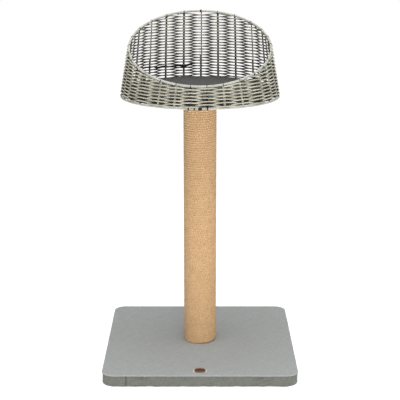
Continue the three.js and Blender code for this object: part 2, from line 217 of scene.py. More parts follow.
def join_up(shader, colour, roughness=None, height=None, depth=0.0):
    """Links a colour, a roughness and a bump of the given depth to the main shader."""
    tree = shader.id_data
    tree.links.new(colour.socket, shader.inputs["Base Color"])
    if roughness is not None:
        tree.links.new(roughness.socket, shader.inputs["Roughness"])
    if height is not None:
        bump = field(tree, "ShaderNodeBump", {"Height": height, "Distance": depth})
        tree.links.new(bump.socket, shader.inputs["Normal"])


def cloth_finish(name, shade, dark, light, lint=False):
    """Plain weave: shade is the middle colour, dark and light those of single threads."""
    tree, shader, material = bare_finish(name, {
        "Roughness": 0.92, "Sheen Weight": 0.15, "Sheen Roughness": 0.5,
        "Specular IOR Level": 0.25,
    })
    place = field(tree, "ShaderNodeUVMap", uv_map="cloth")
    across, along, _ = place.parts()
    turn = math.pi / thread_width
    crossing = (across * turn).step("SINE") * (along * turn).step("SINE")
    warp = noise(place * (1500, 60, 1), 1.0, 3.0)
    weft = noise(place * (60, 1500, 1), 1.0, 3.0)
    threads = warp + weft
    mottle = threads + noise(place, 35.0, 4.0) * 0.15
    darker = mixed(remap(mottle, 0.8, 1.07), dark, shade)
    colour = mixed(remap(mottle, 1.08, 1.35), darker, light)
    # Painted shade: where the cloth is folded in, the colour is darkened towards a deep shade of
    # the dark thread.
    painted_shade_colour = [part * 0.3 for part in screen_colour(*dark)[:3]] + [1.0]
    colour = mixed(attribute(tree, "painted_fold_shade"), colour, painted_shade_colour)
    if lint:
        colour = specked(colour, place, lint_scale, 0.02, 0.0, light)
    join_up(shader, colour, height=crossing * 0.5 + threads, depth=0.12 * MM)
    return material


cover_cloth = cloth_finish(
    "cover cloth", (170, 173, 172), (153, 156, 155), (189, 192, 191), lint=True
)
band_cloth = cloth_finish("band cloth", (109, 110, 103), (93, 94, 87), (127, 128, 121))
pad_cloth = cloth_finish("pad cloth", (65, 66, 63), (54, 55, 53), (80, 81, 78))
tree, shader, thread_finish = bare_finish("sewing thread", {"Roughness": 0.8})
join_up(shader, mixed(noise(object_place(tree), 2500.0), (128, 129, 122), (156, 157, 149)))
print("cloth:", cover_cloth.name, band_cloth.name, pad_cloth.name)

# %% [markdown]
# ## The wall of the basket
# The wall leans in as it rises. A place on it is given by an angle round the basket, a
# distance out of the wall's middle and a height, all in the basket's own measures. The
# stakes' angles are listed one by one, so the angle of any place between two stakes comes from a
# table.
# They turn a little towards the front as they rise, so those at the back stand upright.

# %% Measures of the wall
ring_bottom = float(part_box("bottom_ring")[0].z)
wall_foot = 203.438 * MM
wall_slope = 0.1752
rim_front_height = 55 * MM
rim_back_height = 203 * MM
rim_front_y = -(wall_foot - wall_slope * rim_front_height)
rim_back_y = wall_foot - wall_slope * rim_back_height
rim_slope = (rim_back_height - rim_front_height) / (rim_back_y - rim_front_y)
rim_middle = rim_front_height - rim_slope * rim_front_y
wire_radius = 2.5 * MM
stake_degrees = [
    5.1, 17.5, 31.4, 46.2, 58.6, 70.2, 82.6, 95, 107.1, 119.3, 134.5, 151.1, 165.8, 179.3,
    192.7, 207.6, 222.7, 238.5, 253.4, 267, 278.9, 290.5, 301.7, 313.3, 329.3, 342, 353.1,
]
stake_lean = 0.16 / (203 * MM)
stake_count = len(stake_degrees)
turn_table = np.radians(
    np.concatenate([np.array(stake_degrees) + 360 * lap for lap in range(-1, 14)])
)
place_table = np.arange(-stake_count, 14 * stake_count)


def leaned(turn, height):
    """Stakes turn a little towards the front as they rise."""
    return turn - stake_lean * np.sin(turn) * height


def turn_at(place, height):
    """The angle from the front of a place that is counted in stakes, at a height."""
    return leaned(np.interp(place, place_table, turn_table), height)


def on_wall(turn, out, height, side=0.0):
    """Points of the wall in the model's frame."""
    radius = wall_foot + out - wall_slope * height
    return np.stack(np.broadcast_arrays(
        radius * np.sin(turn) + side * np.cos(turn),
        -radius * np.cos(turn) + side * np.sin(turn),
        ring_bottom + height,
    ), -1)


def below_rim(turn, below):
    """The height at which the wall's middle meets a plane that far below the rim."""
    level = rim_middle - below - rim_slope * wall_foot * np.cos(turn)
    return level / (1 - rim_slope * wall_slope * np.cos(turn))


print(f"{stake_count} stakes, rim from {rim_front_height} to {rim_back_height} m")

# %% [markdown]
# ## Rope and strand
# Rope and wicker strand are long and thin, and their grain runs along them. Geometry Nodes
# will store two attributes on each strand: how far along it a point lies, and where round
# it. With them a fibre can be drawn long and thin wherever the strand goes. The rope has
# painted shade in its grooves, and the strand has painted shade on the inner side of the
# basket, where strands cross and more towards the floor.

# %% Materials for rope, strand and rod
# Where the painted shade on the strand's inner side falls: between these faces of the wall, and
# growing between these heights.
inner_face, outer_face = -0.8 * MM, 0.6 * MM
inmost_face, in_between = -4.6 * MM, -2.6 * MM
painted_shade_from, painted_shade_to = 190 * MM, 30 * MM


def strand_place(tree, stretch, spread):
    """A place on a strand: its length times stretch, and its two ways round times spread."""
    wide = attribute(tree, "around", "Vector") * (0, spread, spread)
    return wide + combined(tree, attribute(tree, "along") * stretch)


def rope_finish():
    """Pale fibres in tufts and patches, with painted shade in the grooves of the rope, and specks.
    """
    tree, shader, material = bare_finish(
        "natural rope", {"Roughness": 0.95, "Sheen Weight": 0.1, "Specular IOR Level": 0.15}
    )
    place = object_place(tree)
    fibres = noise(strand_place(tree, 260.0, 7.0), 1.0, 4.0)
    tufts, patches = noise(place, 330.0), noise(place, 60.0, 3.0)
    tone = (fibres + patches) * 0.5 + tufts * 2.0
    colour = mixed(remap(tone, 1.15, 1.85), (193, 155, 112), (222, 188, 146))
    # Painted shade in the grooves between the lobes.
    colour = mixed(attribute(tree, "groove") * 0.3, colour, (170, 124, 76))
    colour = specked(colour, place, 55.0, 0.5, 0.38, (110, 70, 38))
    join_up(shader, colour, height=fibres, depth=0.4 * MM)
    return material


def strand_finish(name, dark, light, roughness, depth=0.05 * MM, crossing=None):
    """Smooth round strand with faint lengthwise lines and slow changes of shade. Where a
    crossing shade is given, it is painted shade: the inner side is darker where strands cross
    in the wall, and towards the basket's floor."""
    tree, shader, material = bare_finish(name, {"Specular IOR Level": 0.2})
    lines = noise(strand_place(tree, 40.0, 4.0), 1.0, 3.0)
    place = object_place(tree)
    colour = mixed(remap(lines + noise(place, 45.0), 0.75, 1.25), dark, light)
    if crossing:
        # Painted shade on the inner side, where strands cross and towards the floor.
        level = place * (1, 1, 0)
        across = field(tree, "ShaderNodeVectorMath", {0: level}, "Value", operation="LENGTH")
        rise = place.parts()[2] - ring_bottom
        out = across + rise * wall_slope - wall_foot
        inner = remap(out, outer_face, inner_face)
        low = inner * remap(rise, painted_shade_from, painted_shade_to, 0.0, 0.55)
        share = inner * remap(out, inmost_face, in_between) * 0.85
        colour = mixed(share.step("MAXIMUM", low), colour, crossing)
    rough = remap(lines, 0.3, 0.7, roughness - 0.08, roughness + 0.08)
    join_up(shader, colour, rough, lines, depth)
    return material


natural_rope = rope_finish()
# The crossing colour is the painted shade on the inner side of the wall.
wicker = strand_finish(
    "wicker strand", (156, 153, 138), (197, 194, 177), 0.6, 0.15 * MM, crossing=(40, 38, 33)
)
rim_coat = strand_finish("coated wire", (164, 164, 155), (186, 186, 177), 0.45)
# Rod and tie colours are near black: a little of it their own colour, most of it painted shade.
painted_shade_rod = strand_finish("rod in painted shade", (26, 25, 22), (46, 44, 39), 0.6)
painted_shade_tie = strand_finish("tie in painted shade", (26, 25, 23), (44, 42, 38), 0.5)
print("strands:", natural_rope.name, wicker.name, rim_coat.name, painted_shade_rod.name, painted_shade_tie.name)

# %% [markdown]
# ## Wood, card, metal and lining
# These are inside or underneath, but the basket and the base are seen from below too. They
# read Object coordinates, which are metres in the model's frame.


# %% Materials for the solid parts
def grained_finish(name, roughness, dark, light, scale, stretch=(1, 1, 1), depth=0.1 * MM,
                   metallic=0.0):
    """A rough or smooth material whose grain may be stretched."""
    inputs = {"Roughness": roughness, "Metallic": metallic}
    tree, shader, material = bare_finish(name, inputs)
    grain = noise(object_place(tree) * stretch, scale, 6.0)
    join_up(shader, mixed(remap(grain, 0.35, 0.65), dark, light), height=grain, depth=depth)
    return material


for material, names in (
    (grained_finish("chipboard", 0.8, (150, 116, 78), (214, 184, 140), 400.0, depth=0.2 * MM),
     ("base_board", "post_foot_plug", "post_head_plug")),
    (grained_finish("dark floor board", 0.75, (46, 44, 41), (64, 61, 57), 30.0, (1, 14, 14)),
     ("floor_board",)),
    (grained_finish("brown card", 0.9, (136, 106, 74), (168, 138, 102), 120.0, (1, 1, 6)),
     ("post_tube",)),
    (grained_finish("zinc plate", 0.35, (160, 163, 166), (205, 207, 210), 260.0,
                    depth=0.01 * MM, metallic=1.0),
     ("base_t_nut", "base_washer", "base_bolt", "head_t_nut", "head_washer", "head_bolt")),
    (grained_finish("lining felt", 0.95, (30, 31, 34), (52, 53, 57), 700.0, depth=0.2 * MM),
     ("base_lining",)),
):
    for name in names:
        nodes[name].data.materials.clear()
        nodes[name].data.materials.append(material)
print("solid parts finished")

# %% [markdown]
# ## Pieces from points
# Two kinds of shape are enough for this object. A skin is a grid of points that may close on
# itself, and a path is a line of points that Geometry Nodes turn into a strand.


# %% Skins and paths
def lay_cloth(mesh, flat):
    """Gives each point of a mesh its place on the flat cloth, as a UV map."""
    corners = np.zeros(len(mesh.loops), np.int32)
    mesh.loops.foreach_get("vertex_index", corners)
    uv_map = mesh.uv_layers.new(name="cloth")
    uv_map.data.foreach_set("uv", flat[corners].astype(np.float32).ravel())


def skin(name, rings, material, flat_map, caps=(), painted_fold_shades=None):
    """A closed body between rings of points. Each ring closes on itself, and so does the
    row of rings, unless a cap point at each end closes it. The flat map says where each
    point lies on the flat cloth, and the painted shades how dark each point is painted where the
    cloth is folded in."""
    count, size = rings.shape[:2]
    here = np.arange(count * size).reshape(count, size)
    if not len(caps):
        here = np.vstack([here, here[:1]])
    first, second = here[:-1], here[1:]
    quads = [first, np.roll(first, -1, 1), np.roll(second, -1, 1), second]
    faces = np.stack(quads, -1).reshape(-1, 4).tolist()
    points = rings.reshape(-1, 3)
    cloth = flat_map.reshape(-1, 2)
    for cap, row, way in zip(caps, (here[0], here[-1]), (1, -1)):
        middle = len(points)
        points = np.vstack([points, cap])
        cloth = np.vstack([cloth, np.asarray(cap)[:2]])
        ring = row[::-way]
        faces += [[middle, int(a), int(b)] for a, b in zip(ring, np.roll(ring, -1))]
    mesh = bpy.data.meshes.new(name)
    mesh.from_pydata(points.tolist(), [], faces)
    lay_cloth(mesh, cloth)
    # The painted shade of the folds is stored on each point for the cloth's material.
    if painted_fold_shades is not None:
        painted_fold_shade = mesh.attributes.new("painted_fold_shade", "FLOAT", "POINT")
        painted_fold_shade.data.foreach_set("value", np.asarray(painted_fold_shades, np.float32).ravel())
    mesh.shade_smooth()
    mesh.materials.append(material)
    return stand_up(name, mesh)


def stand_up(name, mesh, node=None):
    """A new piece in the scene. With a node it stands for that solid and rides the stand."""
    piece = bpy.data.objects.new(name, mesh)
    bpy.context.scene.collection.objects.link(piece)
    if node:
        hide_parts(node)
        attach(piece, "stand")
    return piece


def through(points, step):
    """A smooth path through a few points, as points that are about a step apart."""
    points = np.asarray(points, float)
    padded = np.vstack([2 * points[0] - points[1], points, 2 * points[-1] - points[-2]])
    path = []
    for a, b, c, d in zip(padded, padded[1:], padded[2:], padded[3:]):
        count = max(2, round(float(np.linalg.norm(c - b)) / step))
        t = np.arange(count)[:, None] / count
        path.append(
            0.5 * (2 * b + (c - a) * t + (2 * a - 5 * b + 4 * c - d) * t**2
                   + (3 * b - a - 3 * c + d) * t**3)
        )
    return np.vstack([*path, points[-1:]])


def path_object(paths, closed=False):
    """An object that only holds lines of points, for Geometry Nodes to work on."""
    edges, start = [], 0
    for path in paths:
        index = np.arange(start, start + len(path))
        edges += list(zip(index[:-1].tolist(), index[1:].tolist()))
        if closed:
            edges.append((int(index[-1]), start))
        start += len(path)
    mesh = bpy.data.meshes.new("paths")
    mesh.from_pydata(np.vstack(paths).tolist(), edges, [])
    return stand_up("paths", mesh)


def ripple(along, length, waves, seed):
    """A smooth random line of about -1 to 1 that repeats after the given length."""
    random = np.random.default_rng(seed)
    total = np.zeros_like(along)
    for wave in waves:
        total += np.sin(FULL_TURN * (wave * along / length + random.random()))
    return total / math.sqrt(len(waves))


print("skins and paths ready")

# %% [markdown]
# ## Geometry Nodes for strands
# Everything long and round here is one tree with other numbers: a path goes in, and a tube
# comes out. The tree stores the two attributes that the materials read. Its inputs are named,
# and a modifier sets them by the identifiers of their sockets.


# %% Build trees and run them
def new_tree(name, inputs):
    """An empty tree with a geometry input and output, and a field for each named input."""
    tree = bpy.data.node_groups.new(name, "GeometryNodeTree")
    tree.interface.new_socket("Paths", in_out="INPUT", socket_type="NodeSocketGeometry")
    for label, kind in inputs.items():
        tree.interface.new_socket(label, in_out="INPUT", socket_type=f"NodeSocket{kind}")
    tree.interface.new_socket("Mesh", in_out="OUTPUT", socket_type="NodeSocketGeometry")
    given = {socket.name: Field(socket) for socket in add(tree, "NodeGroupInput").outputs}
    return tree, given


def keep_value(geometry, name, value, kind="FLOAT"):
    """Stores a value on each point under a name."""
    inputs = {"Geometry": geometry, "Name": name, "Value": value}
    return field(geometry.tree, "GeometryNodeStoreNamedAttribute", inputs, data_type=kind)


def close_tree(geometry, material):
    """Makes real meshes of what the tree holds and hands them out with their material."""
    tree = geometry.tree
    real = field(tree, "GeometryNodeRealizeInstances", {"Geometry": geometry})
    inputs = {"Geometry": real, "Material": material}
    add(tree, "NodeGroupOutput", {"Mesh": field(tree, "GeometryNodeSetMaterial", inputs)})
    return tree


def round_profile(tree, given):
    """A circle whose points know which way round they lie, and the place on it."""
    inputs = {"Resolution": given["Sides"], "Radius": given["Radius"]}
    circle = field(tree, "GeometryNodeCurvePrimitiveCircle", inputs)
    spot = field(tree, "GeometryNodeInputPosition")
    across, up, _ = spot.step("NORMALIZE").parts()
    way = combined(tree, 0.0, across, up)
    return keep_value(circle, "around", way, "FLOAT_VECTOR"), spot


def sweep(line, profile, material):
    """Draws a profile along a line and closes the tree."""
    inputs = {"Curve": line, "Profile Curve": profile, "Fill Caps": True}
    drawn = field(line.tree, "GeometryNodeCurveToMesh", inputs)
    return close_tree(field(line.tree, "GeometryNodeSetShadeSmooth", {"Geometry": drawn}), material)


def grown(name, node, slot, tree, source, **values):
    """Runs a tree on an object and returns the result as a plain piece for a solid."""
    modifier = source.modifiers.new(tree.name, "NODES")
    modifier.node_group = tree
    for item in tree.interface.items_tree:
        label = item.name.lower().replace(" ", "_")
        if item.in_out == "INPUT" and label in values:
            modifier[item.identifier] = values[label]
    mesh = plain_mesh(source)
    mesh.name = name
    if source.name.startswith("paths"):
        bpy.data.objects.remove(source)
    return stand_up(name, mesh, node)


def plain_mesh(piece):
    """The piece's mesh with its modifiers applied. They are removed from the piece."""
    depsgraph = bpy.context.evaluated_depsgraph_get()
    mesh = bpy.data.meshes.new_from_object(
        piece.evaluated_get(depsgraph), preserve_all_data_layers=True, depsgraph=depsgraph
    )
    piece.modifiers.clear()
    return mesh


def tube_tree():
    """A round tube along each path."""
    tree, given = new_tree(
        "Tube along paths", {"Radius": "Float", "Sides": "Int", "Material": "Material"}
    )
    line = field(tree, "GeometryNodeMeshToCurve", {"Mesh": given["Paths"]})
    line = keep_value(line, "along", field(tree, "GeometryNodeSplineParameter", output="Length"))
    return sweep(line, round_profile(tree, given)[0], given["Material"])


tube_along = tube_tree()


def tube(name, node, slot, paths, radius, material, sides=8, closed=False):
    """A piece of round strand, rod or wire along lines of points."""
    source = path_object(paths, closed)
    values = {"radius": radius, "sides": sides, "material": material}
    return grown(name, node, slot, tube_along, source, **values)


print("tree:", tube_along.name, "with", len(tube_along.nodes), "nodes")

# %% [markdown]
# ## The fabric on the base
# A board of 493 mm is wrapped in two pieces of cloth: a top panel and a side band. They are
# sewn together round the edge, which leaves a lip that stands a little proud. Along such a
# seam the cloth puckers, and along the bottom the band is turned in under the board. Both
# pieces are skins over the same rounded square.

# %% Outline of the base
board_side = 493 * MM
board_corner = 26.5 * MM
board_straight = board_side - 2 * board_corner
band_low, band_high = (float(corner.z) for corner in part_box("base_side_band"))
cover_low, cover_high = (float(corner.z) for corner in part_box("base_top_cover"))
outline_length = 4 * board_straight + FULL_TURN * board_corner
seam_at = -187.4 * MM


def outline_at(along):
    """Points of the rounded square and the way out at each, by length from the middle of
    the front, going to the right first."""
    side = board_straight + FULL_TURN / 4 * board_corner
    moved = (along + board_straight / 2) % outline_length
    quarter = np.floor(moved / side)
    rest = moved - quarter * side
    on_line = np.minimum(rest, board_straight)
    bend = np.maximum(rest - board_straight, 0) / board_corner
    x = on_line - board_straight / 2 + board_corner * np.sin(bend)
    y = -board_side / 2 + board_corner * (1 - np.cos(bend))
    out_x, out_y = np.sin(bend), -np.cos(bend)
    c, s = np.cos(quarter * FULL_TURN / 4), np.sin(quarter * FULL_TURN / 4)
    return (
        np.stack([c * x - s * y, s * x + c * y], -1),
        np.stack([c * out_x - s * out_y, s * out_x + c * out_y], -1),
    )


coarse = np.arange(0, outline_length, 2 * MM)
fine = seam_at % outline_length + np.arange(-6, 6, 0.4) * MM
steps = np.unique(np.round(np.concatenate([coarse, fine]), 7))
spots, outward = outline_at(steps)


def even(value):
    """The same value at each step."""
    return np.full(len(steps), value)


def ring_out(out, level):
    """The outline moved out, or in, and up to a level. Both may change along it."""
    moved = spots + outward * np.broadcast_to(out, len(steps))[:, None]
    return np.column_stack([moved, np.broadcast_to(level, len(steps))])


print(f"base outline: {outline_length / MM:.0f} mm in {len(steps)} steps")

# %% Top panel
seam_waves = (121, 163, 199, 236)
pucker = ripple(steps, outline_length, seam_waves, 3)
swell = ripple(steps, outline_length, (5, 9, 14, 23), 4)
flat_shares = (0.12, 0.25, 0.38, 0.5, 0.62, 0.73, 0.82, 0.89, 0.94, 0.97)
edge = [
    # out of the outline and up from the top in mm, and the share of the puckers
    (-6.0, 0.0, 0.1), (-4.5, -0.03, 0.25), (-3.0, -0.08, 0.45), (-1.5, -0.2, 0.7),
    (-0.3, -0.42, 0.9), (0.8, -0.55, 1.0), (1.5, -0.42, 1.0), (2.1, -0.35, 0.9),
    (2.8, -0.55, 0.8), (3.3, -0.95, 0.8), (3.5, -1.45, 0.8), (3.4, -1.95, 0.8),
    (3.0, -2.4, 0.8), (2.3, -2.65, 0.7), (1.2, -2.7, 0.5), (0.2, -2.4, 0.2), (0.0, -1.6, 0),
]
under_cover = cover_low - 0.05 * MM
rings, cloth = [], []  # places in the model and on the flat cloth, ring by ring
for share in flat_shares:
    level = cover_high - 0.03 * MM * swell * share
    rings.append(np.column_stack([spots * share, level]))
    cloth.append(spots * share)
run = edge[0][0]  # how far out the flat cloth has come, in mm
for out, rise, ripples in edge:
    level = cover_high + rise * MM + 0.16 * MM * pucker * ripples
    push = out * MM + 0.22 * MM * swell * ripples + 0.18 * MM * pucker * ripples
    rings.append(ring_out(push, level))
    run = max(run + 0.4, out) if out >= run or rise > -1.9 else run + 0.6
    cloth.append(spots + outward * (run * MM))
for share in (0.97, 0.5, 0.1):
    rings.append(np.column_stack([spots * share, even(under_cover)]))
    cloth.append(spots * share)
top_panel = skin(
    "base_cover_cloth", np.array(rings), cover_cloth, np.array(cloth),
    caps=((0, 0, cover_high), (0, 0, under_cover)),
)
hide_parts("base_top_cover")
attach(top_panel, "stand")
print(f"top panel: {len(top_panel.data.polygons)} faces")

# %% [markdown]
# The side band has the same steps round the base. Going down it, the puckers of the seam
# fade, the turned hem shows as a faint step, and the lower edge wanders a little. One
# upright seam joins its ends at the front left. The cloth is drawn in by a few dents beside
# that seam and by slanting creases at the front right, with some more round the back.
# Painted shade darkens the colour under the lip, in the puckers, along the hem, the seam and
# the bottom edge, and in the dents and creases.

# %% Side band
dents = [
    # along, height, half length, half height, slant, depth and share of painted shade
    (-148, 22.5, 15, 4.5, 0.0, 1.1, 0.28), (-157, 1.5, 17, 3.0, 0.0, 1.0, 0.35),
    (-204, 22, 7, 5.0, 0.5, 0.6, 0.12), (147, 22.0, 13, 5.5, 0.6, 1.2, 0.28),
    (163, 13.5, 4, 8.0, 3.0, 1.1, 0.28), (178, 9.5, 3.5, 5.0, 2.6, 0.7, 0.16),
    (142, 1.0, 17, 3.0, 0.0, 1.2, 0.4), (60, 23.0, 12, 4.0, 0.0, 0.5, 0.1),
    (-40, 20.0, 20, 7.0, 0.8, 0.5, 0.08),
]
front_half, dent_gap = 260, 57
ranges = ((-20, 20), (2, 25), (4, 16), (3, 7), (-2, 2), (0.3, 1.0), (0.05, 0.25))
random = np.random.default_rng(17)
for along in range(front_half, int(outline_length / MM) - front_half, dent_gap):
    drawn = [random.uniform(*limits) for limits in ranges]
    dents.append((along + drawn[0], *drawn[1:]))
hem_wander = ripple(steps, outline_length, (25, 43, 71), 10)
hem_level = 6.2 * MM
band_out = 1.8 * MM


def from_place(place):
    """How far each step lies from a place on the outline, going the shorter way."""
    return (steps - place + outline_length / 2) % outline_length - outline_length / 2


def hump(distance, half_width):
    """A smooth hump, 1 at no distance and about a third at its half width."""
    return np.exp(-((distance / half_width) ** 2))


def band_face(height):
    """How far the band stands out of the board's outline at one height above its lower
    edge, and how much painted shade it has there, from 0 to 1: under the lip, in the puckers, along
    the hem, the seam and the bottom edge, and in the dents."""
    share = height / (band_high - band_low)
    fade = np.exp(-(1 - share) * 4.5)
    out = even(band_out) + 0.5 * MM * pucker * fade
    # Painted shade under the lip at the top and in the inward puckers below the seam.
    painted_fold_shade = 0.3 * np.clip(-pucker, 0, 1) * fade + 0.45 * np.exp(-(1 - share) * 22)
    out += 0.3 * MM * ripple(steps, outline_length, (31, 47, 58, 77), 8) * share
    out += 0.25 * MM * ripple(steps, outline_length, (19, 37, 61), 9) * (1 - share)
    over_hem = height - hem_level - 0.5 * MM * hem_wander
    out += 0.45 * MM / (1 + np.exp(over_hem / (0.35 * MM)))
    # Painted shade along the step of the hem and along the bottom edge.
    painted_fold_shade += 0.22 * hump(over_hem - 0.7 * MM, 0.7 * MM) + 0.5 * np.exp(-height / (1.1 * MM))
    from_seam = from_place(seam_at)
    out += 0.7 * MM * hump(from_seam - 2.9 * MM, 1.6 * MM) - 1.3 * MM * hump(from_seam, 0.9 * MM)
    # Painted shade along the upright seam.
    painted_fold_shade += (0.6 + 0.4 * fade) * hump(from_seam, 1.2 * MM)
    for along, level, half_length, half_height, slant, depth, shade in dents:
        rise = height / MM - level
        reach = from_place(along * MM) / MM - slant * rise
        dent = hump(reach, half_length) * hump(rise, half_height)
        out -= depth * MM * dent
        # Painted shade in each dent.
        painted_fold_shade += shade * dent
    at_corner = np.abs(outward[:, 0] * outward[:, 1]) * 2
    out -= 2.2 * MM * at_corner * hump(height, 5 * MM)
    return out, np.clip(painted_fold_shade, 0, 1)


face_heights = [0, 0.35, 0.8, 1.6, 2.6, 3.6, 4.6, 5.2, 5.7, 6.2, 6.7, 7.2, 8.2, 10, 12, 14, 16,
                18, 20, 22, 23.5, 25, 26.2, 27.3, 28.3, 29.1, 29.7]
turn_in_wave = 0.08 * MM * ripple(steps, outline_length, (33, 51), 12)
# one row for each ring, in mm or metres: out, level, place on the flat cloth, painted shade
rows = []
for depth in (20, 14, 8, 3):
    rows.append((band_out - depth * MM, band_low - turn_in_wave, -depth, even(0.0)))
for height in face_heights:
    out, painted_fold_shade = band_face(height * MM)
    round_edge = 1.1 * MM * max(0.0, 1 - height / 1.2) ** 2
    level = band_low + height * MM + 0.35 * MM * hem_wander * math.exp(-height / 4)
    rows.append((out - round_edge, level, height, painted_fold_shade))
for height in (29.7, 15, 1.6):
    rows.append((-0.9 * MM, band_low + height * MM, 60 - height, even(0.0)))
rows.append((-18.2 * MM, band_low + 1.4 * MM, 78, even(0.0)))
side_band = skin(
    "base_band_cloth",
    np.array([ring_out(out, level) for out, level, _, _ in rows]),
    band_cloth,
    np.array([np.column_stack([steps, even(band_low + flat * MM)]) for _, _, flat, _ in rows]),
    painted_fold_shades=[painted_fold_shade for _, _, _, painted_fold_shade in rows],
)
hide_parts("base_side_band")
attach(side_band, "stand")
print(f"side band: {len(side_band.data.polygons)} faces")

# %% [markdown]
# The hem is held by a row of stitches just above its edge. Geometry Nodes set one small
# thread along the line, again and again, turned along the seam.

# %% Stitches of the hem
stitch_gap = 4.2 * MM
stitch_count = int(outline_length / stitch_gap)


def stitch_tree():
    """Small round threads along a line."""
    tree, given = new_tree("Stitches along a line", {
        "Count": "Int", "Half Length": "Float", "Half Width": "Float", "Material": "Material",
    })
    curve = field(tree, "GeometryNodeMeshToCurve", {"Mesh": given["Paths"]})
    spots = add(tree, "GeometryNodeCurveToPoints", {"Curve": curve, "Count": given["Count"]})
    tangent = Field(spots.outputs["Tangent"])
    way = field(tree, "FunctionNodeAlignRotationToVector", {"Vector": tangent}, axis="X")
    sphere = {"Segments": 8, "Rings": 5, "Radius": 1.0}
    inputs = {
        "Points": Field(spots.outputs[0]), "Rotation": way,
        "Instance": field(tree, "GeometryNodeMeshUVSphere", sphere),
        "Scale": combined(tree, given["Half Length"], given["Half Width"], given["Half Width"]),
    }
    return close_tree(field(tree, "GeometryNodeInstanceOnPoints", inputs), given["Material"])


stitch_level = hem_level + 1.0 * MM + 0.5 * MM * hem_wander
stitch_line = ring_out(band_face(stitch_level)[0] + 0.05 * MM, band_low + stitch_level)
grown(
    "hem_stitches", "base_side_band", "band_fabric", stitch_tree(),
    path_object([stitch_line], True), count=stitch_count, half_length=1.25 * MM,
    half_width=0.28 * MM, material=thread_finish,
)
print(f"hem: {stitch_count} stitches")

# %% [markdown]
# ## The badge
# A plain round badge sits near the front edge. It is a ring of brushed steel, coppery at its
# far edge, round a dark, slightly domed disc. Both carry a painted reflection that pales them
# towards their near edge, and the ring has painted highlights at its sides. Both are turned
# shapes, made from half of their section.


# %% Ring and disc of the badge
def badge_finish(name, far, near, side=None):
    """Brushed metal whose colour goes from its far edge to its near one; the paler near side
    is a painted reflection. Where a side colour is given, the metal gets painted highlights
    at its left and right."""
    tree, shader, material = bare_finish(name, {"Metallic": 0.85, "Roughness": 0.35})
    centre = (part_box("badge_plate")[0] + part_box("badge_plate")[1]) / 2
    place = object_place(tree)
    across, forth, _ = (place - tuple(centre)).parts()
    # Painted reflection: the colour pales from the far edge to the near one.
    colour = mixed(remap(forth, 6 * MM, -14 * MM), far, near)
    if side:
        # Painted highlights at the left and right of the ring.
        colour = mixed(remap(across.step("ABSOLUTE"), 12 * MM, 16 * MM), colour, side)
    lines = noise(place * (1, 30, 1), 90.0)
    join_up(shader, colour, height=lines, depth=0.01 * MM)
    return material


def turned(name, profile, centre, material, count=72):
    """A closed shape of revolution from its profile, which starts and ends on the axis or
    closes on itself."""
    angles = FULL_TURN * np.arange(count) / count
    radii, levels = (np.array(profile) * MM).T
    rings = np.stack(
        [centre[0] + radii[:, None] * np.cos(angles), centre[1] + radii[:, None] * np.sin(angles),
         centre[2] + np.repeat(levels[:, None], count, 1)], -1
    )
    caps = ()
    if radii[0] == 0:
        caps = (rings[0, 0], rings[-1, 0])
        rings = rings[1:-1]
    return skin(name, rings, material, rings[..., :2], caps)


badge_low, badge_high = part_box("badge_plate")
badge_foot = (float(badge_low.x + badge_high.x) / 2, float(badge_low.y + badge_high.y) / 2,
              float(badge_low.z))
ring_profile = [
    (14.6, 0.4), (14.9, 0.8), (15.4, 1.1), (15.9, 1.25), (16.5, 1.25), (17.0, 1.1), (17.4, 0.8),
    (17.7, 0.4), (17.7, 0.0), (14.6, 0.0),
]
disc_profile = [
    (0, 1.1), (4, 1.08), (8, 1.0), (11, 0.85), (13.3, 0.65), (14.4, 0.45), (14.5, 0.3),
    (14.5, 0.0), (8, 0.0), (0, 0.0),
]
# Coppery far colour, paler near colour as a painted reflection, and the colour of the painted
# highlights.
badge_steel = badge_finish(
    "brushed badge steel", (176, 132, 108), (160, 158, 154), (228, 223, 217)
)
# Dark far side, and a paler near side that is a painted reflection.
badge_dark = badge_finish("badge middle", (58, 48, 45), (126, 121, 116))
for name, profile, material in (
    ("badge_ring", ring_profile, badge_steel), ("badge_disc", disc_profile, badge_dark),
):
    piece = turned(name, profile, badge_foot, material)
    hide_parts("badge_plate")
    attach(piece, "stand")
print("badge at", [round(x, 3) for x in badge_foot])

# %% [markdown]
# ## The rope on the post
# The post is wound with one length of three-strand rope, with its turns side by side. A laid
# rope is a shape that follows a rule: three lobes that turn about the rope's own middle as it
# goes along. Geometry Nodes draw the winding from its radius and pitch, and tilt the
# three-lobed profile more and more along the way. The rope is wound tight: each turn is
# drawn thicker than the pitch and further in, so that neighbours are pressed together and
# only their crowns show. The middle stretch is made in two pieces, so that no piece is too
# heavy.

# %% Tree for a laid rope
lobe_count = 3


